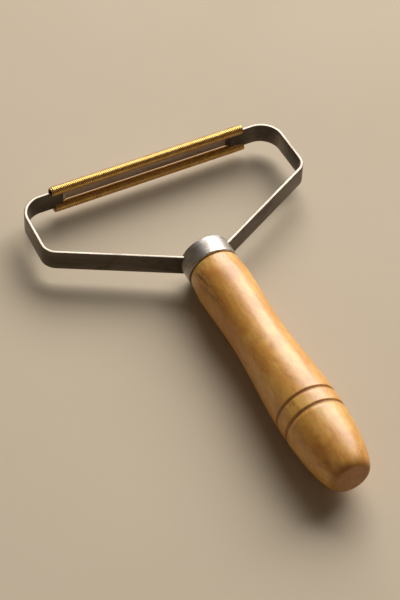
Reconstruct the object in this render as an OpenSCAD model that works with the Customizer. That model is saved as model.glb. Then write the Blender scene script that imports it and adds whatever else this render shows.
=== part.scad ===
// Hand lint scraper: a turned wooden handle, a short steel ferrule and a bent steel strip
// loop whose straight front bar carries two close-wound brass coils.
// The handle's axis is +Y, its flat butt end is at the origin, and the strip stands on edge
// in the plane z = 0. Millimetres, +Z up.

/* [Handle] */
// Visible length of the wood, from the butt to the ferrule
handle_len = 122.6; // [110:0.2:140]
// Diameter of the small flat disc at the butt
butt_d = 14; // [8:0.5:18]
// Greatest diameter, near the two turned grooves
swell_d = 28; // [25:0.2:31]
// Distance of the greatest diameter from the butt
swell_at = 35; // [31:1:42]
// Diameter at the slim waist
waist_d = 23; // [20:0.2:24]
// Distance of the waist from the butt
waist_at = 86; // [78:1:94]
// Diameter of the low bead of wood behind the ferrule
neck_d = 24.6; // [23.8:0.2:26]
// Distance of that bead behind the ferrule
neck_back = 9.5; // [7:0.5:12]
// Distance of the first turned groove from the butt
groove_at = 30.6; // [24:0.1:33]
// Spacing of the two turned grooves
groove_gap = 7.9; // [5:0.2:9]
// Width of the round cutter that makes each groove
groove_w = 1.5; // [1:0.1:2]

/* [Ferrule] */
// Outer diameter of the ferrule
ferrule_d = 23.2; // [22.4:0.2:24]
// Length of the ferrule
ferrule_len = 9.2; // [8:0.2:12]
// Wall thickness of the ferrule's tube and of its closed front
ferrule_wall = 1; // [0.8:0.1:1.4]
// Visible gap between the ferrule's back rim and the wood
ferrule_gap = 0.3; // [0.2:0.1:0.6]

/* [Strip loop] */
// Width of the loop across its rear corners, at mid-thickness
loop_w = 125; // [115:1:140]
// Width of the loop across its front corners, at mid-thickness
front_w = 123.4; // [113:0.2:140]
// Distance of the front bar ahead of the rear corners
front_reach = 30.6; // [28:0.2:40]
// Distance of the rear corners ahead of the arms' roots
arm_reach = 28.4; // [20:0.2:34]
// Distance of the arms' roots behind the ferrule's front
root_back = 2.2; // [2.2:0.1:4]
// Height of the strip, which stands on edge
strip_h = 10; // [9:0.1:12]
// Thickness of the strip
strip_t = 1.5; // [1.2:0.1:1.6]
// Bend radius of the front corners, at mid-thickness
front_bend_r = 10; // [6:0.5:12]
// Bend radius of the rear corners, at mid-thickness
rear_bend_r = 7; // [4:0.5:9]
// Length of the window in the front bar
window_len = 82; // [70:1:84]
// Height of the thin rail left above and below the window
rail_h = 0.8; // [0.6:0.1:0.8]

/* [Coils and backing plate] */
// Outer diameter of each brass coil
coil_d = 4.4; // [4.4:0.1:5]
// Diameter of the brass wire
wire_d = 0.8; // [0.6:0.05:0.85]
// Length of each coil along the bar
coil_len = 94.4; // [88:0.4:97]
// Distance of a coil's axis beyond the strip's edge
coil_out = 0.3; // [0.2:0.05:0.35]
// Thickness of the plate behind the window
plate_t = 1.2; // [0.8:0.1:1.5]
// Length of the plate behind the window
plate_len = 93; // [88:1:96]
// Gap left between the plate's long edges and the coils
plate_gap = 0.3; // [0.1:0.1:1.2]

/* [Screw] */
// Diameter of the wood screw that holds the ferrule on the handle
screw_d = 4; // [3.5:0.1:4.5]
// Length of the screw below its head
screw_len = 32; // [24:1:40]
// Diameter of the screw's round head
screw_head_d = 8; // [7:0.2:9]
// Outer diameter of the washer under the head
washer_d = 10.4; // [9.6:0.2:12]

/* [Hidden] */
$fn = 96;

// Places along the handle's axis
ferrule_y = handle_len + ferrule_gap;
ferrule_front_y = ferrule_y + ferrule_len;
root_y = ferrule_front_y - root_back;
rear_y = root_y + arm_reach;
bar_y = rear_y + front_reach;

// Inside of the ferrule and the wooden spigot in it
spigot_slack = 0.1;
bore_d = ferrule_d - 2 * ferrule_wall;
spigot_d = bore_d - 2 * spigot_slack;
spigot_end = ferrule_front_y - ferrule_wall;
rim_bevel = 0.35;

// Extra length of a cutter past the surface it cuts through
overcut = 1;

// Wood outline, and how far the groove cutters' centres lie outside the swell
neck_at = handle_len - neck_back;
groove_lift = 0.1;
shoulder_d = 23;
shoulder_round = 1.6;
tail_steps = 18;
wave_steps = 14;

// Screw and washer
washer_t = 0.8;
screw_head_h = 2.6;
slot_w = 1.1;
slot_len = 4.6;
slot_deep = 1.4;
pilot_slack = 0.05;
clearance = 0.4;

// Strip loop: half widths, how far the arms reach into the ferrule before they are cut to it,
// window, and the angle between points on a bend
half_loop = loop_w / 2;
half_front = front_w / 2;
root_sink = 2.4;
root_x = ferrule_d / 2 - root_sink;
ferrule_overcut = 10;
window_h = strip_h - 2 * rail_h;
window_round = 1;
bend_step = 5;

// Coils
coil_z = strip_h / 2 + coil_out;
coil_bore = coil_d - 2 * wire_d;
plate_h = 2 * (coil_z - coil_d / 2 - plate_gap);

// Welds: radius, place and shortness of the arms' beads, and the plate fillets' two legs
arm_weld_r = 1.3;
arm_weld_sink = 0.3;
arm_weld_back = 0.2;
arm_weld_end = 0.6;
plate_weld_leg = 1.9;
plate_weld_rise = strip_t * 0.9;

// ---------------------------------------------------------------- helpers

// Turns a shape built along +Z so that it lies along +Y
module along_y() rotate([-90, 0, 0]) children();

// Radius that eases from a to b as t goes from 0 to 1
function ease(a, b, t) = a + (b - a) * (1 - cos(180 * t)) / 2;

function unit(v) = v / norm(v);
function left_of(v) = [-v[1], v[0]];
function heading(v) = atan2(v[1], v[0]);

// ---------------------------------------------------------------- handle

// Half section of the wood as [radius, distance from the butt]
function tail_curve() = [for (i = [0 : tail_steps]) let (a = 90 * i / tail_steps)
    [butt_d / 2 + (swell_d - butt_d) / 2 * sin(a), swell_at * (1 - cos(a))]];
function wave(d0, y0, d1, y1) = [for (i = [1 : wave_steps]) let (t = i / wave_steps)
    [ease(d0, d1, t) / 2, y0 + (y1 - y0) * t]];
function shoulder_curve() = [for (a = [0 : 15 : 90])
    [shoulder_d / 2 - shoulder_round * (1 - cos(a)),
     handle_len - shoulder_round * (1 - sin(a))]];

module handle_section() {
    difference() {
        polygon(concat(
            [[0, 0]],
            tail_curve(),
            wave(swell_d, swell_at, waist_d, waist_at),
            wave(waist_d, waist_at, neck_d, neck_at),
            shoulder_curve(),
            [[spigot_d / 2, handle_len], [spigot_d / 2, spigot_end], [0, spigot_end]]));
        for (i = [0, 1])
            translate([swell_d / 2 + groove_lift, groove_at + i * groove_gap])
                circle(d = groove_w, $fn = 48);
    }
}

module handle() {
    color("peru")
        along_y() difference() {
            rotate_extrude() handle_section();
            translate([0, 0, spigot_end + ferrule_wall + washer_t - screw_len - clearance])
                cylinder(d = screw_d + 2 * pilot_slack, h = screw_len);
        }
}

// ---------------------------------------------------------------- ferrule and its screw

// Cup that opens towards the wood, with small bevels on both rims
module ferrule_section() {
    r = ferrule_d / 2;
    polygon([
        [bore_d / 2, 0], [r - rim_bevel, 0], [r, rim_bevel],
        [r, ferrule_len - rim_bevel], [r - rim_bevel, ferrule_len],
        [screw_d / 2 + clearance, ferrule_len],
        [screw_d / 2 + clearance, ferrule_len - ferrule_wall],
        [bore_d / 2, ferrule_len - ferrule_wall]]);
}

module ferrule() {
    color("silver")
        along_y() translate([0, 0, ferrule_y]) rotate_extrude() ferrule_section();
}

module screw_washer() {
    color("gainsboro")
        along_y() translate([0, 0, ferrule_front_y]) difference() {
            cylinder(d = washer_d, h = washer_t);
            translate([0, 0, -overcut])
                cylinder(d = screw_d + 2 * clearance, h = washer_t + 2 * overcut);
        }
}

// Round-head wood screw with a cross recess, pointing back into the wood
module handle_screw() {
    head_r = screw_head_d / 2;
    color("gainsboro")
        along_y() translate([0, 0, ferrule_front_y + washer_t]) difference() {
            rotate_extrude() polygon([
                [0, -screw_len], [screw_d / 2, 2 * screw_d - screw_len], [screw_d / 2, 0],
                [head_r, 0], [head_r, screw_head_h * 0.4], [head_r * 0.86, screw_head_h * 0.75],
                [head_r * 0.5, screw_head_h], [0, screw_head_h]]);
            for (a = [45, 135])
                rotate([0, 0, a])
                    translate([-slot_len / 2, -slot_w / 2, screw_head_h - slot_deep])
                        cube([slot_len, slot_w, slot_deep + overcut]);
        }
}

// ---------------------------------------------------------------- bent strip loop

// Mid-thickness corners of the loop, from the left arm's root round to the right one's
function loop_points() = [
    [-root_x, root_y], [-half_loop, rear_y], [-half_front, bar_y],
    [half_front, bar_y], [half_loop, rear_y], [root_x, root_y]];
function loop_radii() = [0, rear_bend_r, front_bend_r, front_bend_r, rear_bend_r, 0];

// Distance from a corner to where its bend starts
function setback(p, r, i) =
    let (u = unit(p[i] - p[i - 1]), v = unit(p[i + 1] - p[i]))
    r[i] * tan(acos(u * v) / 2);

// Points round the clockwise bend at corner i, on the face that lies off outside mid-thickness
function bend_points(p, r, i, off) =
    let (u = unit(p[i] - p[i - 1]),
         v = unit(p[i + 1] - p[i]),
         centre = p[i] - u * setback(p, r, i) - left_of(u) * r[i],
         from = heading(left_of(u)),
         turn = acos(u * v),
         steps = ceil(turn / bend_step))
    [for (k = [0 : steps]) let (a = from - turn * k / steps)
        centre + (r[i] + off) * [cos(a), sin(a)]];

// One whole face of the strip, seen from above
function loop_face(p, r, off) =
    let (last = len(p) - 1,
         u = unit(p[1] - p[0]),
         v = unit(p[last] - p[last - 1]))
    concat([p[0] + left_of(u) * off],
           [for (i = [1 : last - 1]) each bend_points(p, r, i, off)],
           [p[last] + left_of(v) * off]);

function reversed(a) = [for (i = [len(a) - 1 : -1 : 0]) a[i]];

module loop_outline() {
    p = loop_points();
    r = loop_radii();
    polygon(concat(loop_face(p, r, strip_t / 2), reversed(loop_face(p, r, -strip_t / 2))));
}

module loop_solid() {
    translate([0, 0, -strip_h / 2]) linear_extrude(strip_h) loop_outline();
}

// Opening in the front bar, with small round corners, seen along the handle's axis
module window_cutter() {
    translate([0, bar_y + strip_t, 0]) rotate([90, 0, 0]) linear_extrude(2 * strip_t) union() {
        square([window_len - 2 * window_round, window_h], center = true);
        square([window_len, window_h - 2 * window_round], center = true);
        for (x = [-1, 1], y = [-1, 1])
            translate([x * (window_len / 2 - window_round), y * (window_h / 2 - window_round)])
                circle(r = window_round, $fn = 32);
    }
}

module frame_strip() {
    color("lightslategray") difference() {
        loop_solid();
        window_cutter();
        along_y() translate([0, 0, ferrule_y - ferrule_overcut])
            cylinder(d = ferrule_d, h = ferrule_len + 2 * ferrule_overcut);
    }
}

// ---------------------------------------------------------------- coils and backing plate

// Envelope of one close-wound coil: a tube round the rail, slit where the bar is solid
module coil(side) {
    color("goldenrod") difference() {
        translate([-coil_len / 2, bar_y, side * coil_z]) rotate([0, 90, 0]) difference() {
            cylinder(d = coil_d, h = coil_len);
            translate([0, 0, -overcut]) cylinder(d = coil_bore, h = coil_len + 2 * overcut);
        }
        for (x = [-1, 1])
            translate([x * (window_len + coil_len) / 4, bar_y, side * strip_h / 4])
                cube([(coil_len - window_len) / 2 + 2 * overcut, strip_t, strip_h / 2],
                     center = true);
    }
}

module upper_coil() coil(1);

module lower_coil() coil(-1);

module backing_plate() {
    color("dimgray")
        translate([-plate_len / 2, bar_y + strip_t / 2, -plate_h / 2])
            cube([plate_len, plate_t, plate_h]);
}

// ---------------------------------------------------------------- welds

// Fillet in the corner between the window's end and the backing plate
module plate_weld(side) {
    color("gray")
        translate([side * window_len / 2, bar_y + strip_t / 2, -plate_h / 2])
            linear_extrude(plate_h)
                polygon([[0, 0], [-side * plate_weld_leg, 0], [0, -plate_weld_rise]]);
}

module plate_weld_left() plate_weld(-1);

module plate_weld_right() plate_weld(1);

// Bead down the front corner between an arm and the ferrule
module arm_weld(side) {
    color("gray") difference() {
        translate([side * (ferrule_d / 2 - arm_weld_sink), ferrule_front_y - arm_weld_back, 0])
            cylinder(r = arm_weld_r, h = strip_h - 2 * arm_weld_end, center = true, $fn = 48);
        along_y() cylinder(d = ferrule_d, h = ferrule_front_y);
        loop_solid();
    }
}

module arm_weld_left() arm_weld(-1);

module arm_weld_right() arm_weld(1);

// ---------------------------------------------------------------- all sub-parts

handle();
ferrule();
handle_screw();
screw_washer();
frame_strip();
backing_plate();
upper_coil();
lower_coil();
arm_weld_left();
arm_weld_right();
plate_weld_left();
plate_weld_right();
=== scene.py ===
import math

import bmesh
import bpy
from mathutils import Matrix, Vector, noise


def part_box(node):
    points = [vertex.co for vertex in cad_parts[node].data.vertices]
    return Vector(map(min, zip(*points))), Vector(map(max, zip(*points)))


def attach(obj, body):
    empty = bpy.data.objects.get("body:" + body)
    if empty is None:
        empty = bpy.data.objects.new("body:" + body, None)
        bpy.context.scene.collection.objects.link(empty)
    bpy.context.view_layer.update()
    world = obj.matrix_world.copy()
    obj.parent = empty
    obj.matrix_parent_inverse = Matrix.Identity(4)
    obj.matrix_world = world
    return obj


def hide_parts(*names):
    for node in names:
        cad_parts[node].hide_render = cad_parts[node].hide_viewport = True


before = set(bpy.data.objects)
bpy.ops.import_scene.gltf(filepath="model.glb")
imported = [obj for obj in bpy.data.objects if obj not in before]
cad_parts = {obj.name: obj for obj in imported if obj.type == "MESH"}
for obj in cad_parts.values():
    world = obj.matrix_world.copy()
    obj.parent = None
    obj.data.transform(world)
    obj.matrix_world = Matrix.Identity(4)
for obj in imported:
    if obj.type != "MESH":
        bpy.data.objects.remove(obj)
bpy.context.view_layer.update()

# Hand lint scraper: turned wooden handle, steel ferrule, bent steel strip loop and two
# close-wound brass coils on its front bar. Metres; the handle's axis is +Y, its butt is at the
# origin, and the strip stands on edge in the plane z = 0.

MM = 0.001
BODY = "root"


def corner(node, index):
    """One corner of a CAD node's box, in millimetres."""
    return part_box(node)[index] / MM


# ------------------------------------------------------------------ sizes, in millimetres

# Handle
FERRULE_Y = corner("ferrule", 0).y
FERRULE_FRONT = corner("ferrule", 1).y
FERRULE_R = corner("ferrule", 1).x
HANDLE_LEN = FERRULE_Y - 0.3
SPIGOT_END = corner("handle", 1).y
SPIGOT_R = 10.5
SWELL_R = corner("handle", 1).x
BUTT_R = 7.0
SWELL_AT = 35.0
WAIST_R = 11.5
WAIST_AT = 86.0
NECK_R = 12.3
NECK_AT = HANDLE_LEN - 9.5
SHOULDER_R = 11.5
SHOULDER_ROUND = 1.6
GROOVES_AT = (30.6, 38.5)
GROOVE_DEPTH = 0.62
GROOVE_HALF = 1.25
# Half-width of the painted shade that darkens the grooves' colour
GROOVE_SHADE_HALF = 1.2

# Scar in the wood: a line along Y on the handle's left, behind the ferrule
SCAR_X = -9.8
SCAR_Z = 7.0
SCAR_REACH = 3.4
SCAR_FADES_IN = (88.0, 117.0)
SCAR_FADES_OUT = (118.5, 120.0)

# Ferrule, screw and washer
FERRULE_WALL = 1.0
FERRULE_HOLE_R = 2.4
FERRULE_LIP = 0.45
WASHER_HOLE_R = 2.4
SCREW_SHANK_R = 2.0
SCREW_RECESS = 1.4
SCREW_SLOT = (4.6, 1.05)

# Strip loop
STRIP_H = corner("frame_strip", 1).z * 2
STRIP_T = 1.5
BAR_Y = corner("frame_strip", 1).y - STRIP_T / 2
HALF_LOOP = 62.5
HALF_FRONT = 61.7
REAR_Y = BAR_Y - 30.6
ROOT_X = FERRULE_R - 2.4
ROOT_Y = FERRULE_FRONT - 2.2
REAR_BEND_R = 7.0
FRONT_BEND_R = 10.0
WINDOW_LEN = 82.0
WINDOW_ROUND = 1.0
RAIL_H = 0.8
STRIP_EDGE_ROUND = 0.4
ARM_WELD_R = 1.25

# Coils
COIL_R = (corner("upper_coil", 1).y - corner("upper_coil", 0).y) / 2
COIL_Z = corner("upper_coil", 1).z - COIL_R
COIL_HALF = corner("upper_coil", 1).x
WIRE_R = 0.4
WIRE_PITCH = 0.83
WIRE_FLATNESS = 0.72
LOWER_COIL_SLIDE = 1.3
END_TUCK = 0.4
COIL_START_ANGLE = 50

# Backdrop: flat out to a radius, then a quarter bend up to a wall
FLOOR_GAP = 0.05
FLOOR_FLAT_R = 3600
FLOOR_BEND_R = 1800
FLOOR_WALL_TOP = 3500


# ------------------------------------------------------------------ node-tree shorthand


def rgb(red, green, blue):
    """Linear colour from 0 to 255 display values."""
    out = []
    for value in (red, green, blue):
        v = value / 255
        out.append(v / 12.92 if v <= 0.04045 else ((v + 0.055) / 1.055) ** 2.4)
    return (*out, 1.0)


class Finish:
    """A material and short names for the nodes it is made of."""

    def __init__(self, name):
        self.material = bpy.data.materials.new(name)
        self.material.use_nodes = True
        self.tree = self.material.node_tree
        self.shader = self.tree.nodes["Principled BSDF"]

    def add(self, kind, **settings):
        node = self.tree.nodes.new(kind)
        for key, value in settings.items():
            setattr(node, key, value)
        return node

    def put(self, socket, value):
        """Links value to the socket if it is a socket, and sets it if it is a number."""
        if isinstance(value, bpy.types.NodeSocket):
            self.tree.links.new(value, socket)
        else:
            socket.default_value = value

    def coords(self, x, y, z, source="Object"):
        """Surface coordinates times a scale per axis. Object coordinates are in metres."""
        mapping = self.add("ShaderNodeMapping")
        self.put(mapping.inputs["Vector"], self.add("ShaderNodeTexCoord").outputs[source])
        mapping.inputs["Scale"].default_value = (x, y, z)
        return mapping.outputs["Vector"]

    def axes(self):
        """The surface point's X, Y and Z, in metres."""
        split = self.add("ShaderNodeSeparateXYZ")
        self.put(split.inputs[0], self.coords(1, 1, 1))
        return split.outputs

    def noise(self, vector, scale=1.0, detail=4.0, rough=0.5, warp=0.0):
        node = self.add("ShaderNodeTexNoise")
        self.put(node.inputs["Vector"], vector)
        node.inputs["Scale"].default_value = scale
        node.inputs["Detail"].default_value = detail
        node.inputs["Roughness"].default_value = rough
        node.inputs["Distortion"].default_value = warp
        return node.outputs["Fac"]

    def spans(self, value, low, high, to_low=0.0, to_high=1.0, smooth=True):
        """value from low..high moved to to_low..to_high, and held there beyond."""
        node = self.add("ShaderNodeMapRange")
        if smooth:
            node.interpolation_type = "SMOOTHSTEP"
        self.put(node.inputs["Value"], value)
        node.inputs["From Min"].default_value = low
        node.inputs["From Max"].default_value = high
        node.inputs["To Min"].default_value = to_low
        node.inputs["To Max"].default_value = to_high
        return node.outputs["Result"]

    def ramp(self, value, *stops):
        """Colour ramp through (position, colour) stops."""
        node = self.add("ShaderNodeValToRGB")
        self.put(node.inputs["Fac"], value)
        band = node.color_ramp
        while len(band.elements) < len(stops):
            band.elements.new(0.5)
        for element, (position, colour) in zip(band.elements, stops):
            element.position = position
            element.color = colour
        return node.outputs["Color"]

    def mix(self, amount, first, second, mode="MIX"):
        node = self.add("ShaderNodeMix", data_type="RGBA", blend_type=mode)
        self.put(node.inputs[0], amount)
        self.put(node.inputs[6], first)
        self.put(node.inputs[7], second)
        return node.outputs[2]

    def math(self, operation, *values):
        node = self.add("ShaderNodeMath", operation=operation)
        for socket, value in zip(node.inputs, values):
            self.put(socket, value)
        return node.outputs["Value"]

    def bump(self, height, depth, strength=1.0, under=None):
        """Normal from a height; depth is the height's size in metres."""
        node = self.add("ShaderNodeBump")
        node.inputs["Strength"].default_value = strength
        node.inputs["Distance"].default_value = depth
        self.put(node.inputs["Height"], height)
        if under is not None:
            self.put(node.inputs["Normal"], under)
        return node.outputs["Normal"]

    def set(self, **sockets):
        """Shader sockets by name, with _ for the spaces."""
        for key, value in sockets.items():
            self.put(self.shader.inputs[key.replace("_", " ")], value)


# ------------------------------------------------------------------ materials


def near_lines(fin, along, places, half_width):
    """1 on the given places along an axis, falling to 0 half_width away."""
    total = None
    for place in places:
        distance = fin.math("ABSOLUTE", fin.math("SUBTRACT", along, place * MM))
        line = fin.spans(distance, half_width * MM * 0.45, half_width * MM, 1.0, 0.0)
        total = line if total is None else fin.math("MAXIMUM", total, line)
    return total


def length_of(fin, across, height):
    """Distance from the two sides of a right angle."""
    squares = fin.math("ADD", fin.math("MULTIPLY", across, across),
                       fin.math("MULTIPLY", height, height))
    return fin.math("SQRT", squares)


def near_line_along_y(fin, axes, x, z, reach):
    """1 close to a line along Y through (x, z), falling to 0 at the given reach."""
    across = fin.math("SUBTRACT", axes["X"], x * MM)
    height = fin.math("SUBTRACT", axes["Z"], z * MM)
    return fin.spans(length_of(fin, across, height), 0.0, reach * MM, 1.0, 0.0)


def growth_rings(fin):
    """Soft light and dark bands of the wood's figure."""
    rings = fin.add("ShaderNodeTexWave", wave_type="BANDS", bands_direction="X")
    fin.put(rings.inputs["Vector"], fin.coords(1000, 110, 380))
    rings.inputs["Scale"].default_value = 0.09
    rings.inputs["Distortion"].default_value = 5.0
    rings.inputs["Detail"].default_value = 3.0
    rings.inputs["Detail Scale"].default_value = 0.35
    rings.inputs["Detail Roughness"].default_value = 0.55
    return rings.outputs["Fac"]


def wood_tone(fin, mottle, fibres, flecks):
    """Colour of the clean wood with its figure, streaks, pores and ground-in dirt."""
    blotch = fin.noise(fin.coords(95, 50, 95), detail=4, rough=0.58, warp=0.7)
    smudges = fin.noise(fin.coords(170, 90, 170), scale=1.3, detail=6, rough=0.66, warp=0.9)
    tone = fin.ramp(blotch, (0.34, rgb(208, 138, 48)), (0.5, rgb(226, 162, 66)),
                    (0.66, rgb(238, 186, 92)))
    tone = fin.mix(fin.spans(mottle, 0.48, 0.68, 0.0, 0.38), tone, rgb(176, 102, 28))
    figure = fin.spans(growth_rings(fin), 0.15, 0.95, 0.0, 0.13)
    tone = fin.mix(figure, tone, rgb(170, 108, 38))
    streaks = fin.spans(fibres, 0.42, 0.66, 0.0, 0.22)
    tone = fin.mix(streaks, tone, rgb(172, 112, 42))
    pores = fin.spans(flecks, 0.62, 0.74, 0.0, 0.3)
    tone = fin.mix(pores, tone, rgb(112, 64, 20))
    dirt = fin.spans(smudges, 0.57, 0.74, 0.0, 0.5)
    return fin.mix(dirt, tone, rgb(116, 66, 20))


def scar_mask(fin, axes):
    """1 in the scratched scar behind the ferrule, and 0 elsewhere."""
    line = near_line_along_y(fin, axes, SCAR_X, SCAR_Z, SCAR_REACH)
    start, full = SCAR_FADES_IN
    fading, end = SCAR_FADES_OUT
    run = fin.math("MULTIPLY", fin.spans(axes["Y"], start * MM, full * MM),
                   fin.spans(axes["Y"], fading * MM, end * MM, 1.0, 0.0))
    scratches = fin.noise(fin.coords(900, 170, 900), detail=4, rough=0.7, warp=0.3)
    scar = fin.math("MULTIPLY", line, run)
    return fin.math("MULTIPLY", scar, fin.spans(scratches, 0.40, 0.58))


def worn_wood_tone(fin, tone, along, mottle, groove_shade, scar):
    """The tone with painted shade in the grooves, the scar, a rubbed rim and darker end grain."""
    # Painted shade: the colour in the groove recesses is darkened.
    tone = fin.mix(fin.math("MULTIPLY", groove_shade, 0.55), tone, rgb(116, 60, 16))
    tone = fin.mix(fin.math("MULTIPLY", scar, 0.8), tone, rgb(70, 34, 12))
    rim = fin.spans(along, (HANDLE_LEN - 9) * MM, (HANDLE_LEN - 1) * MM, 0.0, 0.6)
    rim = fin.math("MULTIPLY", rim, fin.spans(mottle, 0.62, 0.40))
    tone = fin.mix(rim, tone, rgb(238, 200, 124))
    end_grain = fin.spans(along, 0.0, 4 * MM, 0.6, 0.0)
    return fin.mix(end_grain, tone, rgb(132, 76, 22))


def wood_finish():
    """Honey-coloured close-grained wood, oiled and rubbed smooth by use."""
    fin = Finish("worn_honey_wood")
    axes = fin.axes()
    along = axes["Y"]
    mottle = fin.noise(fin.coords(560, 200, 560), detail=4, rough=0.62, warp=0.4)
    fibres = fin.noise(fin.coords(1900, 70, 1900), detail=5, rough=0.65)
    flecks = fin.noise(fin.coords(2400, 260, 2400), detail=2, rough=0.4)
    rub = fin.noise(fin.coords(1500, 900, 1500), detail=5, rough=0.65)
    # 1 in the turned grooves. It darkens them as painted shade and makes them a little rougher.
    groove_shade = near_lines(fin, along, GROOVES_AT, GROOVE_SHADE_HALF)
    scar = scar_mask(fin, axes)

    tone = wood_tone(fin, mottle, fibres, flecks)
    tone = worn_wood_tone(fin, tone, along, mottle, groove_shade, scar)
    gloss = fin.math("ADD", fin.spans(rub, 0.3, 0.75, 0.44, 0.56, smooth=False),
                     fin.math("MULTIPLY", groove_shade, 0.2))
    relief = fin.bump(fibres, 0.00004, 0.4)
    relief = fin.bump(rub, 0.00003, 0.35, under=relief)
    relief = fin.bump(flecks, 0.00005, 0.3, under=relief)
    relief = fin.bump(scar, -0.0003, 0.5, under=relief)
    oiled = fin.spans(along, 0.0, 3 * MM, 0.1, 0.7)
    fin.set(Base_Color=tone, Roughness=gloss, Normal=relief)
    fin.set(Specular_IOR_Level=0.6, Coat_Weight=oiled, Coat_Roughness=0.34)
    return fin.material


def steel_finish(name, source, scales, light, dark, rough, stain, edge=None):
    """Brushed steel; scales are the brushing's coordinates, fine across the strokes.
    edge is the paler colour of the strip's upper and lower edges: partly rubbed wear, partly a
    painted highlight."""
    fin = Finish(name)
    strokes = fin.noise(fin.coords(*scales, source=source), detail=6, rough=0.7)
    patches = fin.noise(fin.coords(90, 90, 90), detail=4, rough=0.6, warp=0.5)
    specks = fin.noise(fin.coords(1500, 1500, 1500), detail=4, rough=0.6)
    tone = fin.ramp(strokes, (0.30, rgb(*dark)), (0.68, rgb(*light)))
    tone = fin.mix(fin.spans(patches, 0.52, 0.74, 0.0, 0.5), tone, rgb(*stain))
    tone = fin.mix(fin.spans(specks, 0.60, 0.74, 0.0, 0.6), tone, rgb(*stain))
    if edge is not None:
        # Paler upper and lower edges: rubbed wear, with a painted highlight on top of it.
        height = fin.math("ABSOLUTE", fin.axes()["Z"])
        rubbed = fin.spans(height, (STRIP_H / 2 - 0.35) * MM, (STRIP_H / 2 - 0.08) * MM)
        rubbed = fin.math("MULTIPLY", rubbed, fin.spans(patches, 0.30, 0.6, 1.0, 0.65))
        tone = fin.mix(rubbed, tone, rgb(*edge))
    gloss = fin.math("ADD", fin.spans(strokes, 0.3, 0.7, rough - 0.05, rough + 0.07, False),
                     fin.spans(patches, 0.5, 0.75, 0.0, 0.1))
    relief = fin.bump(strokes, 0.00002, 0.45)
    relief = fin.bump(specks, 0.00002, 0.5, under=relief)
    fin.set(Base_Color=tone, Roughness=gloss, Normal=relief, Metallic=1.0)
    return fin.material


def brass_finish():
    """Polished brass wire, darker in the valleys between the turns: partly tarnish, partly
    painted shade.
    """
    fin = Finish("brass_wire")
    axes = fin.axes()
    across = fin.math("SUBTRACT", axes["Y"], BAR_Y * MM)
    height = fin.math("SUBTRACT", fin.math("ABSOLUTE", axes["Z"]), COIL_Z * MM)
    radius = length_of(fin, across, height)
    crest = fin.spans(radius, (COIL_R - 0.5) * MM, (COIL_R - 0.08) * MM)
    mottle = fin.noise(fin.coords(260, 700, 700), detail=5, rough=0.6)
    drawn = fin.noise(fin.coords(2500, 700, 700), detail=3, rough=0.6)
    tone = fin.ramp(mottle, (0.3, rgb(212, 158, 70)), (0.52, rgb(232, 184, 96)),
                    (0.72, rgb(248, 210, 132)))
    # Painted shade with some tarnish: the colour darkens from the crest down into the valleys
    # between turns.
    tone = fin.mix(fin.spans(crest, 0.0, 1.0, 0.92, 0.0, False), tone, rgb(108, 58, 12))
    gloss = fin.math("ADD", fin.spans(drawn, 0.3, 0.7, 0.26, 0.36, False),
                     fin.spans(crest, 0.0, 1.0, 0.2, 0.0, False))
    fin.set(Base_Color=tone, Roughness=gloss, Normal=fin.bump(drawn, 0.00002, 0.4), Metallic=1.0)
    fin.set(Coat_Weight=1.0, Coat_Roughness=0.22)
    return fin.material


def weld_finish(name, straw, bright, blue):
    """Weld metal with pits and a heat tint that runs from straw through bright to blue."""
    fin = Finish(name)
    ripple = fin.noise(fin.coords(1100, 1100, 1100), detail=5, rough=0.65)
    heat = fin.noise(fin.coords(350, 350, 350), detail=2, rough=0.5)
    tone = fin.ramp(heat, (0.34, rgb(*straw)), (0.5, rgb(*bright)), (0.66, rgb(*blue)))
    tone = fin.mix(fin.spans(ripple, 0.60, 0.72, 0.0, 0.6), tone, rgb(96, 82, 70))
    gloss = fin.spans(ripple, 0.3, 0.7, 0.34, 0.56, False)
    fin.set(Base_Color=tone, Roughness=gloss, Normal=fin.bump(ripple, 0.00015, 0.6), Metallic=1.0)
    return fin.material


def zinc_finish():
    """Zinc-plated steel: pale, slightly blue, with dull spots."""
    fin = Finish("zinc_plating")
    cloud = fin.noise(fin.coords(450, 450, 450), detail=4, rough=0.6)
    grit = fin.noise(fin.coords(2400, 2400, 2400), detail=3, rough=0.5)
    tone = fin.ramp(cloud, (0.35, rgb(168, 164, 158)), (0.65, rgb(206, 206, 208)))
    tone = fin.mix(fin.spans(grit, 0.64, 0.74, 0.0, 0.6), tone, rgb(98, 84, 70))
    gloss = fin.spans(cloud, 0.3, 0.7, 0.22, 0.4, False)
    fin.set(Base_Color=tone, Roughness=gloss, Normal=fin.bump(grit, 0.00003, 0.4), Metallic=1.0)
    return fin.material


def floor_finish():
    """Plain pale matt surface with a faint mottle."""
    fin = Finish("pale_floor")
    mottle = fin.noise(fin.coords(9, 9, 9), detail=6, rough=0.55)
    tone = fin.ramp(mottle, (0.3, rgb(190, 175, 152)), (0.7, rgb(194, 179, 157)))
    fin.set(Base_Color=tone, Roughness=0.85, Normal=fin.bump(mottle, 0.0004, 0.1))
    return fin.material


# ------------------------------------------------------------------ mesh shorthand


def smooth_shaded(bm, sharp_angle=38.0):
    """Smooth faces, with edges sharper than the angle kept crisp."""
    bmesh.ops.recalc_face_normals(bm, faces=bm.faces)
    limit = math.radians(sharp_angle)
    for face in bm.faces:
        face.smooth = True
    for edge in bm.edges:
        edge.smooth = not (edge.is_manifold and edge.calc_face_angle(0.0) > limit)


def mesh_object(name, bm):
    """Object made of a bmesh in millimetres."""
    bmesh.ops.scale(bm, vec=(MM, MM, MM), verts=bm.verts)
    mesh = bpy.data.meshes.new(name)
    bm.to_mesh(mesh)
    bm.free()
    obj = bpy.data.objects.new(name, mesh)
    bpy.context.scene.collection.objects.link(obj)
    return obj


def add_piece(name, bm, material, slot_name, *nodes):
    """A finished piece of the object that stands for the given CAD nodes."""
    smooth_shaded(bm)
    obj = mesh_object(name, bm)
    obj.data.materials.append(material)
    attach(obj, BODY)
    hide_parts(*nodes)
    return obj


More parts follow.
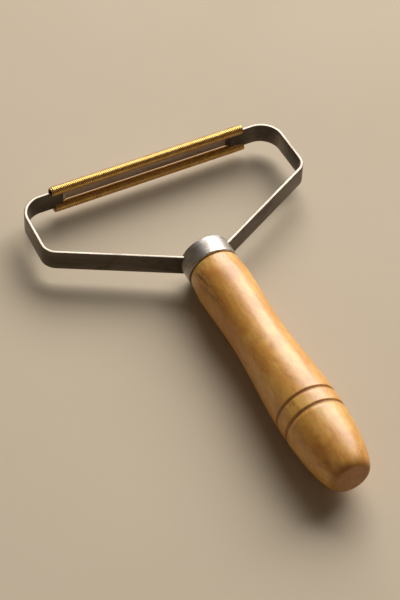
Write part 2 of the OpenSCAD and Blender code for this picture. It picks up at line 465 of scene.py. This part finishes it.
def lathe(profile, segments, ripple=None):
    """Closed solid turned about the Y axis from (radius, y) points that start and end on it."""
    bm = bmesh.new()
    rings = []
    for radius, y in profile:
        if radius < 1e-6:
            rings.append([bm.verts.new((0, y, 0))])
            continue
        ring = []
        for i in range(segments):
            a = 2 * math.pi * i / segments
            r = radius + (ripple(a, y) if ripple else 0.0)
            ring.append(bm.verts.new((r * math.cos(a), y, r * math.sin(a))))
        rings.append(ring)
    for low, high in zip(rings, rings[1:]):
        for i in range(segments):
            j = (i + 1) % segments
            if len(low) == 1:
                bm.faces.new((low[0], high[i], high[j]))
            elif len(high) == 1:
                bm.faces.new((low[j], low[i], high[0]))
            else:
                bm.faces.new((low[j], low[i], high[i], high[j]))
    return bm


def closed_lathe(outline, segments):
    """Ring-shaped solid turned about the Y axis from a closed outline of (radius, y)."""
    bm = bmesh.new()
    rings = []
    for i in range(segments):
        a = 2 * math.pi * i / segments
        rings.append([bm.verts.new((r * math.cos(a), y, r * math.sin(a))) for r, y in outline])
    for i, ring in enumerate(rings):
        after = rings[(i + 1) % segments]
        for k in range(len(outline)):
            m = (k + 1) % len(outline)
            bm.faces.new((ring[k], ring[m], after[m], after[k]))
    return bm


def skin(bm, rings):
    """Faces between rings of vertices, and over the first and the last ring."""
    for low, high in zip(rings, rings[1:]):
        for k in range(len(low)):
            m = (k + 1) % len(low)
            bm.faces.new((low[k], low[m], high[m], high[k]))
    bm.faces.new(rings[0][::-1])
    bm.faces.new(rings[-1])


def cut(bm, cutter):
    """bm with the cutter's solid taken away; both are in millimetres."""
    whole, tool = bpy.data.meshes.new("whole"), bpy.data.meshes.new("tool")
    for mesh, source in ((whole, bm), (tool, cutter)):
        bmesh.ops.recalc_face_normals(source, faces=source.faces)
        source.to_mesh(mesh)
        source.free()
    target = bpy.data.objects.new("whole", whole)
    blade = bpy.data.objects.new("tool", tool)
    for obj in (target, blade):
        bpy.context.scene.collection.objects.link(obj)
    boolean = target.modifiers.new("cut", "BOOLEAN")
    boolean.operation = "DIFFERENCE"
    boolean.solver = "EXACT"
    boolean.object = blade
    result = bmesh.new()
    result.from_object(target, bpy.context.evaluated_depsgraph_get())
    for obj in (target, blade):
        bpy.data.objects.remove(obj)
    for mesh in (whole, tool):
        bpy.data.meshes.remove(mesh)
    return result


def prism(outline, low, high):
    """Solid over a closed outline of (x, y) points, from z = low to z = high."""
    bm = bmesh.new()
    bottom = [bm.verts.new((x, y, low)) for x, y in outline]
    top = [bm.verts.new((x, y, high)) for x, y in outline]
    bm.faces.new(bottom[::-1])
    bm.faces.new(top)
    for i in range(len(outline)):
        j = (i + 1) % len(outline)
        bm.faces.new((bottom[i], bottom[j], top[j], top[i]))
    return bm


def rounded_rectangle(width, height, radius, steps):
    """Outline of a rectangle round the origin with round corners."""
    points = []
    centres = ((1, 1, 0), (-1, 1, 90), (-1, -1, 180), (1, -1, 270))
    for sx, sy, start in centres:
        for k in range(steps + 1):
            a = math.radians(start + 90 * k / steps)
            points.append((sx * (width / 2 - radius) + radius * math.cos(a),
                           sy * (height / 2 - radius) + radius * math.sin(a)))
    return points


def bevelled(bm, width, segments=3, min_angle=40.0):
    """bm with its sharp edges rounded."""
    limit = math.radians(min_angle)
    edges = [e for e in bm.edges if e.is_manifold and e.calc_face_angle(0.0) > limit]
    bmesh.ops.bevel(bm, geom=edges, offset=width, segments=segments, affect="EDGES",
                    profile=0.5, clamp_overlap=True)
    return bm


# ------------------------------------------------------------------ handle


def ease(a, b, t):
    """From a to b as t goes from 0 to 1, level at both ends."""
    return a + (b - a) * (1 - math.cos(math.pi * t)) / 2


def wood_radius(y):
    """Radius of the turned handle at y, without its grooves."""
    if y <= SWELL_AT:
        a = math.acos(max(-1.0, min(1.0, 1 - y / SWELL_AT)))
        return BUTT_R + (SWELL_R - BUTT_R) * math.sin(a)
    if y <= WAIST_AT:
        return ease(SWELL_R, WAIST_R, (y - SWELL_AT) / (WAIST_AT - SWELL_AT))
    if y <= NECK_AT:
        return ease(WAIST_R, NECK_R, (y - WAIST_AT) / (NECK_AT - WAIST_AT))
    bead_end = HANDLE_LEN - SHOULDER_ROUND
    if y <= bead_end:
        t = (y - NECK_AT) / (bead_end - NECK_AT)
        return NECK_R + (SHOULDER_R - NECK_R) * t
    drop = (y - bead_end) / SHOULDER_ROUND
    return SHOULDER_R - SHOULDER_ROUND * (1 - math.sqrt(max(0.0, 1 - drop * drop)))


def grooved_radius(y):
    """Radius with the two turned grooves cut in."""
    r = wood_radius(y)
    for place in GROOVES_AT:
        off = abs(y - place)
        if off < GROOVE_HALF:
            r -= GROOVE_DEPTH * (0.5 + 0.5 * math.cos(math.pi * off / GROOVE_HALF)) ** 1.3
    return r


def handle_stations():
    """Places along the handle, closer together at its butt, grooves and shoulder."""
    places = [SWELL_AT * (1 - math.cos(math.radians(2 * k))) for k in range(1, 30)]
    coarse, fine, end_zone = 0.9, 0.07, 2.2
    y = places[-1]
    while y + coarse < HANDLE_LEN - end_zone:
        y += fine if any(abs(y - g) < GROOVE_HALF + 0.2 for g in GROOVES_AT) else coarse
        places.append(y)
    places += [HANDLE_LEN - end_zone * (1 - k / 14) for k in range(15)]
    return places


def turning_marks(angle, y):
    """Slight unevenness of hand-finished wood, in millimetres."""
    spot = Vector((math.cos(angle) * 1.1, y / 16, math.sin(angle) * 1.1))
    edge = min(1.0, y / 6) * min(1.0, max(0.0, HANDLE_LEN - y) / 6)
    return -0.07 * edge * (0.5 + 0.5 * noise.noise(spot))


def build_handle(material):
    """The turned wood, with a spigot that fills the ferrule."""
    profile = [(0.0, 0.0), (BUTT_R * 0.5, 0.0), (BUTT_R * 0.85, 0.0), (BUTT_R, 0.01)]
    profile += [(grooved_radius(y), y) for y in handle_stations()]
    profile += [(SPIGOT_R, HANDLE_LEN), (SPIGOT_R, SPIGOT_END), (0.0, SPIGOT_END)]
    bm = lathe(profile, 160, turning_marks)
    return add_piece("turned_handle", bm, material, "handle_wood", "handle")


# ------------------------------------------------------------------ ferrule, screw, washer


def build_ferrule(material):
    """Cup with rounded lips, closed in front apart from the screw's hole."""
    r = FERRULE_R
    wall = FERRULE_WALL
    bore = r - wall
    hole = FERRULE_HOLE_R
    lip = FERRULE_LIP
    back, front = FERRULE_Y, FERRULE_FRONT
    arc = [math.radians(90 * k / 5) for k in range(6)]
    outline = [(bore, back + 0.15), (bore + 0.15, back)]
    outline += [(r - lip + lip * math.sin(a), back + lip - lip * math.cos(a)) for a in arc]
    outline += [(r, back + (front - back) * k / 8) for k in range(1, 8)]
    outline += [(r - lip + lip * math.cos(a), front - lip + lip * math.sin(a)) for a in arc]
    outline += [(hole + 0.2, front), (hole, front - 0.2), (hole, front - wall),
                (bore, front - wall)]
    bm = closed_lathe(outline, 144)
    return add_piece("steel_ferrule", bm, material, "brushed_steel", "ferrule")


def build_washer(material):
    """Flat washer with chamfered rims."""
    low, high = corner("screw_washer", 0), corner("screw_washer", 1)
    outer = high.x
    hole = WASHER_HOLE_R
    outline = [(hole, low.y), (outer - 0.2, low.y), (outer, low.y + 0.2),
               (outer, high.y - 0.2), (outer - 0.2, high.y), (hole + 0.1, high.y),
               (hole, high.y - 0.1)]
    bm = closed_lathe(outline, 96)
    return add_piece("flat_washer", bm, material, "zinc_steel", "screw_washer")


def screw_head_profile(seat, top, head_r):
    """Shank below the seat and a domed head above it."""
    tall = top - seat
    shank = SCREW_SHANK_R
    tip = corner("handle_screw", 0).y
    profile = [(0.0, tip), (shank * 0.5, tip + 4), (shank, tip + 8), (shank, seat)]
    profile += [(head_r - 0.15, seat), (head_r, seat + 0.15), (head_r, seat + tall * 0.35)]
    for k in range(1, 11):
        a = math.radians(90 * k / 10)
        profile.append((head_r * math.cos(a), seat + tall * (0.35 + 0.65 * math.sin(a))))
    profile[-1] = (0.0, top)
    return profile


def cross_slot(angle, top):
    """Cutter for one arm of the head's cross recess, narrower at its bottom."""
    length, width = SCREW_SLOT
    slot = bmesh.new()
    bmesh.ops.create_cube(slot, size=1.0)
    bmesh.ops.scale(slot, vec=(length, SCREW_RECESS * 2, width), verts=slot.verts)
    for v in slot.verts:
        if v.co.y < 0:
            v.co.x *= 0.55
            v.co.z *= 0.6
    turn = Matrix.Rotation(math.radians(angle), 3, "Y")
    bmesh.ops.rotate(slot, matrix=turn, verts=slot.verts)
    bmesh.ops.translate(slot, vec=(0, top, 0), verts=slot.verts)
    return slot


def build_screw(material):
    """Round-head screw with a cross recess."""
    seat = corner("screw_washer", 1).y
    top = corner("handle_screw", 1).y
    head_r = corner("handle_screw", 1).x
    bm = lathe(screw_head_profile(seat, top, head_r), 96)
    for angle in (45, 135):
        bm = cut(bm, cross_slot(angle, top))
    return add_piece("cross_head_screw", bm, material, "zinc_steel", "handle_screw")


# ------------------------------------------------------------------ bent strip


def loop_corners():
    """Mid-thickness corners of the loop and the bend radius at each."""
    points = [(-ROOT_X, ROOT_Y), (-HALF_LOOP, REAR_Y), (-HALF_FRONT, BAR_Y),
              (HALF_FRONT, BAR_Y), (HALF_LOOP, REAR_Y), (ROOT_X, ROOT_Y)]
    radii = [0.0, REAR_BEND_R, FRONT_BEND_R, FRONT_BEND_R, REAR_BEND_R, 0.0]
    return [Vector(p) for p in points], radii


def bend_stations(before, at, after, radius, step_degrees=3.0):
    """(point, outward normal) round one clockwise bend."""
    u = (at - before).normalized()
    v = (after - at).normalized()
    turn = math.acos(max(-1.0, min(1.0, u.dot(v))))
    left = Vector((-u.y, u.x))
    centre = at - u * (radius * math.tan(turn / 2)) - left * radius
    start = math.atan2(left.y, left.x)
    steps = max(2, math.ceil(math.degrees(turn) / step_degrees))
    out = []
    for k in range(steps + 1):
        a = start - turn * k / steps
        normal = Vector((math.cos(a), math.sin(a)))
        out.append((centre + normal * radius, normal))
    return out


def loop_stations():
    """(point, outward normal, distance run) along the whole strip."""
    points, radii = loop_corners()
    first = (points[1] - points[0]).normalized()
    last = (points[-1] - points[-2]).normalized()
    raw = [(points[0], Vector((-first.y, first.x)))]
    for i in range(1, len(points) - 1):
        raw += bend_stations(points[i - 1], points[i], points[i + 1], radii[i])
    raw.append((points[-1], Vector((-last.y, last.x))))
    out, run = [], 0.0
    for i, (point, normal) in enumerate(raw):
        if i:
            run += (point - raw[i - 1][0]).length
        out.append((point, normal, run))
    return out


def running_girth(section):
    """Distance round a closed outline at each of its points, and back at the first."""
    girth = [0.0]
    for here, after in zip(section, section[1:] + section[:1]):
        girth.append(girth[-1] + math.hypot(after[0] - here[0], after[1] - here[1]))
    return girth


def swept_strip():
    """The strip as a tube of rounded rectangular section, with UVs in millimetres."""
    section = rounded_rectangle(STRIP_T, STRIP_H, STRIP_EDGE_ROUND, 5)
    bm = bmesh.new()
    uv = bm.loops.layers.uv.new("run")
    rings = []
    stations = loop_stations()
    for point, normal, _ in stations:
        ring = []
        for across, z in section:
            spot = point + normal * across
            ring.append(bm.verts.new((spot.x, spot.y, z)))
        rings.append(ring)
    girth = running_girth(section)
    for i in range(len(rings) - 1):
        runs = (stations[i][2], stations[i + 1][2])
        for k in range(len(section)):
            m = (k + 1) % len(section)
            face = bm.faces.new((rings[i][k], rings[i][m], rings[i + 1][m], rings[i + 1][k]))
            corners = ((runs[0], girth[k]), (runs[0], girth[k + 1]),
                       (runs[1], girth[k + 1]), (runs[1], girth[k]))
            for loop, place in zip(face.loops, corners):
                loop[uv].uv = place
    bm.faces.new(rings[0][::-1])
    bm.faces.new(rings[-1])
    return bm


def window_cutter():
    """Solid that cuts the long window in the front bar."""
    outline = rounded_rectangle(WINDOW_LEN, STRIP_H - 2 * RAIL_H, WINDOW_ROUND, 6)
    bm = prism(outline, -STRIP_T, STRIP_T)
    bmesh.ops.rotate(bm, matrix=Matrix.Rotation(math.radians(90), 3, "X"), verts=bm.verts)
    bmesh.ops.translate(bm, vec=(0, BAR_Y, 0), verts=bm.verts)
    return bm


def ferrule_cutter():
    """Solid the size of the ferrule's outside, longer at both ends."""
    low, high = FERRULE_Y - 10, FERRULE_FRONT + 10
    return lathe([(0, low), (FERRULE_R, low), (FERRULE_R, high), (0, high)], 144)


def build_strip(material):
    """The bent strip with its window, its ends cut to the ferrule."""
    bm = cut(swept_strip(), window_cutter())
    bm = cut(bm, ferrule_cutter())
    return add_piece("bent_strip", bm, material, "strip_steel", "frame_strip")


def build_plate(material):
    """Plate behind the window, with rounded edges."""
    low, high = corner("backing_plate", 0), corner("backing_plate", 1)
    half = (high - low) / 2
    bm = prism(rounded_rectangle(half.x * 2, half.z * 2, 0.6, 4), -half.y, half.y)
    bmesh.ops.rotate(bm, matrix=Matrix.Rotation(math.radians(90), 3, "X"), verts=bm.verts)
    bmesh.ops.translate(bm, vec=(low + high) / 2, verts=bm.verts)
    bm = bevelled(bm, 0.18)
    return add_piece("backing_bar", bm, material, "strip_steel", "backing_plate")


# ------------------------------------------------------------------ brass coils


def coil_path(side):
    """(point, outward direction, tangent) along the wire of one coil.
    The wire's two ends tuck in, and the lower coil has slid a little along its rail."""
    steps_per_turn = 24
    start = -side * math.radians(COIL_START_ANGLE)
    run = 2 * (COIL_HALF - WIRE_R)
    turns = int(run / WIRE_PITCH)
    pitch = run / turns
    mean_r = COIL_R - WIRE_R
    slide = LOWER_COIL_SLIDE if side < 0 else 0.0
    out = []
    for k in range(turns * steps_per_turn + 1):
        turn = k / steps_per_turn
        a = start + 2 * math.pi * turn
        sway = noise.noise(Vector((turn * 0.43, side * 7.0, 0.0)))
        x = -COIL_HALF + WIRE_R + pitch * turn
        edge = min(1.0, turn / 2, (turns - turn) / 2)
        x += 0.05 * sway * edge + slide
        r = mean_r - 0.025 * (0.5 + 0.5 * noise.noise(Vector((turn * 0.9, 3.0, side))))
        r -= END_TUCK * max(0.0, 1 - min(turn, turns - turn))
        out_dir = Vector((0, math.cos(a), math.sin(a)))
        tangent = Vector((pitch, -2 * math.pi * r * math.sin(a), 2 * math.pi * r * math.cos(a)))
        centre = Vector((x, BAR_Y, side * COIL_Z)) + out_dir * r
        out.append((centre, out_dir, tangent.normalized()))
    return out


def build_coil(name, side, material, node):
    """One coil as a single helix of wire with a slightly squared section."""
    around = 12
    bm = bmesh.new()
    rings = []
    for centre, out_dir, tangent in coil_path(side):
        sideways = tangent.cross(out_dir).normalized()
        ring = []
        for k in range(around):
            a = 2 * math.pi * k / around
            rise = math.copysign(abs(math.cos(a)) ** WIRE_FLATNESS, math.cos(a))
            run = math.copysign(abs(math.sin(a)) ** WIRE_FLATNESS, math.sin(a))
            ring.append(bm.verts.new(centre + (out_dir * rise + sideways * run) * WIRE_R))
        rings.append(ring)
    skin(bm, rings)
    return add_piece(name, bm, material, "brass_wire", node)


# ------------------------------------------------------------------ welds


def build_plate_weld(name, side, material, node):
    """Fillet, a little uneven, in the corner between the bar and the backing plate."""
    low, high = corner(node, 0), corner(node, 1)
    inner = high.x if side < 0 else low.x
    wall = low.x if side < 0 else high.x
    back = high.y
    leg_x, leg_y = abs(inner - wall), high.y - low.y
    bm = bmesh.new()
    rings = []
    rows = 14
    for k in range(rows + 1):
        z = low.z + (high.z - low.z) * k / rows
        swell = 1 - 0.16 * (0.5 + 0.5 * noise.noise(Vector((z * 0.9, side * 5.0, 0))))
        ring = [bm.verts.new((wall, back, z))]
        for j in range(7):
            t = j / 6
            sag = 0.16 * math.sin(math.pi * t)
            x = wall - side * leg_x * swell * (1 - t) * (1 - sag)
            y = back - leg_y * swell * t * (1 - sag)
            ring.append(bm.verts.new((x, y, z)))
        rings.append(ring)
    skin(bm, rings)
    return add_piece(name, bm, material, "weld_metal", node)


def build_arm_weld(name, side, material, node):
    """Rippled bead where one end of the strip meets the ferrule."""
    low, high = corner(node, 0), corner(node, 1)
    centre_x = side * (FERRULE_R - 0.3)
    centre_y = FERRULE_FRONT - 0.2
    rows, around = 30, 20
    bm = bmesh.new()
    rings = []
    for k in range(rows + 1):
        t = k / rows
        z = low.z + 0.1 + (high.z - low.z - 0.2) * t
        taper = math.sqrt(max(0.03, 1 - abs(2 * t - 1) ** 6))
        beads = 0.93 + 0.07 * math.cos(t * math.pi * 12)
        ring = []
        for j in range(around):
            a = 2 * math.pi * j / around
            r = ARM_WELD_R * taper * beads
            ring.append(bm.verts.new((centre_x + r * math.cos(a), centre_y + r * math.sin(a), z)))
        rings.append(ring)
    skin(bm, rings)
    return add_piece(name, bm, material, "weld_metal", node)


# ------------------------------------------------------------------ stage, lights, camera


def build_floor(material):
    """Pale sheet under the tool, just clear of the handle's swell and the next lowest place.
    It is flat round the tool and rises far away into an even backdrop."""
    low_places = ((NECK_AT, NECK_R), (FERRULE_FRONT, FERRULE_R), (BAR_Y, COIL_Z + COIL_R))
    slope = min(math.atan2(SWELL_R - drop, y - SWELL_AT) for y, drop in low_places)
    flat, bend = FLOOR_FLAT_R, FLOOR_BEND_R
    profile = [(0, 0), (300, 0), (1500, 0), (flat, 0)]
    for k in range(1, 17):
        a = math.radians(90 * k / 16)
        profile.append((flat + bend * math.sin(a), bend - bend * math.cos(a)))
    profile.append((flat + bend, FLOOR_WALL_TOP))
    bm = lathe(profile, 96)
    tilt = Matrix.Rotation(math.radians(90) + slope, 3, "X")
    bmesh.ops.rotate(bm, matrix=tilt, verts=bm.verts)
    bmesh.ops.translate(bm, vec=(0, SWELL_AT, -SWELL_R - FLOOR_GAP), verts=bm.verts)
    smooth_shaded(bm)
    floor = mesh_object("floor", bm)
    floor.data.materials.append(material)


def add_light(name, place, target, size, power, colour):
    """Soft rectangular light that faces the target; places in metres."""
    data = bpy.data.lights.new(name, "AREA")
    data.shape = "RECTANGLE"
    data.size, data.size_y = size
    data.energy = power
    data.color = colour
    obj = bpy.data.objects.new(name, data)
    obj.location = place
    direction = Vector(target) - Vector(place)
    obj.rotation_mode = "QUATERNION"
    obj.rotation_quaternion = direction.to_track_quat("-Z", "Y")
    bpy.context.scene.collection.objects.link(obj)


def build_lights():
    """A large key light, a weak fill from the other side and a dim warm surround."""
    target = (0.0, 0.11, 0.0)
    add_light("key", (1.50, 1.45, 1.60), target, (3.0, 1.9), 128.0, (1.0, 0.98, 0.95))
    add_light("fill", (-1.8, -1.0, 1.6), target, (2.4, 2.0), 1.5, (1.0, 0.9, 0.8))
    world = bpy.data.worlds.new("studio")
    world.use_nodes = True
    background = world.node_tree.nodes["Background"]
    background.inputs["Color"].default_value = (1.0, 0.9, 0.78, 1.0)
    background.inputs["Strength"].default_value = 0.08
    bpy.context.scene.world = world
    bpy.context.scene.view_settings.view_transform = "Standard"


def build_camera():
    """Camera above and behind the butt, to its left, turned a little about its own axis."""
    azimuth, elevation, roll = (math.radians(a) for a in (-28.5, 48.95, 2.73))
    distance = 1.01416
    target = Vector((-0.01304, 0.10987, 0.0))
    focal_in_widths = 6.0
    back = Vector((math.sin(azimuth) * math.cos(elevation),
                   -math.cos(azimuth) * math.cos(elevation), math.sin(elevation)))
    right = Vector((math.cos(azimuth), math.sin(azimuth), 0))
    up = back.cross(right)
    tilted_right = right * math.cos(roll) + up * math.sin(roll)
    tilted_up = up * math.cos(roll) - right * math.sin(roll)
    data = bpy.data.cameras.new("camera")
    data.sensor_fit = "HORIZONTAL"
    data.sensor_width = 36.0
    data.lens = focal_in_widths * data.sensor_width
    data.clip_start, data.clip_end = 0.05, 20.0
    camera = bpy.data.objects.new("camera", data)
    turn = Matrix((tilted_right, tilted_up, back)).transposed()
    camera.matrix_world = Matrix.Translation(target + back * distance) @ turn.to_4x4()
    bpy.context.scene.collection.objects.link(camera)
    bpy.context.scene.camera = camera


# ------------------------------------------------------------------ the whole object

wood = wood_finish()
ferrule_steel = steel_finish("brushed_ferrule", "Object", (240, 3600, 240), (208, 202, 196),
                             (134, 126, 118), 0.44, (82, 66, 52))
strip_steel = steel_finish("brushed_strip", "UV", (0.05, 4.0, 1.0), (118, 108, 97),
                           (76, 67, 57), 0.34, (62, 46, 32), (146, 137, 126))
plate_steel = steel_finish("dull_backing", "Object", (60, 3000, 3000), (206, 188, 170),
                           (156, 138, 120), 0.5, (96, 74, 54))
brass = brass_finish()
ground_weld = weld_finish("ground_weld", (186, 164, 132), (212, 208, 202), (172, 178, 192))
# Painted highlight: a paler copy of the weld metal for the window's left weld, which catches a
# glint.
window_weld = weld_finish("window_weld", (232, 214, 190), (252, 250, 248), (216, 224, 238))
# Painted shade: a darker copy of the same weld metal for the window's right weld, which sits in
# shade.
shade_painted_weld = weld_finish("shade_painted_weld", (88, 70, 52), (98, 88, 80), (70, 70, 78))
zinc = zinc_finish()

build_handle(wood)
build_ferrule(ferrule_steel)
build_washer(zinc)
build_screw(zinc)
build_strip(strip_steel)
build_plate(plate_steel)
build_coil("brass_coil_upper", 1, brass, "upper_coil")
build_coil("brass_coil_lower", -1, brass, "lower_coil")
build_plate_weld("window_weld_left", -1, window_weld, "plate_weld_left")
build_plate_weld("window_weld_right", 1, shade_painted_weld, "plate_weld_right")
build_arm_weld("arm_weld_bead_left", -1, ground_weld, "arm_weld_left")
build_arm_weld("arm_weld_bead_right", 1, ground_weld, "arm_weld_right")

build_floor(floor_finish())
build_lights()
build_camera()

bpy.context.view_layer.update()
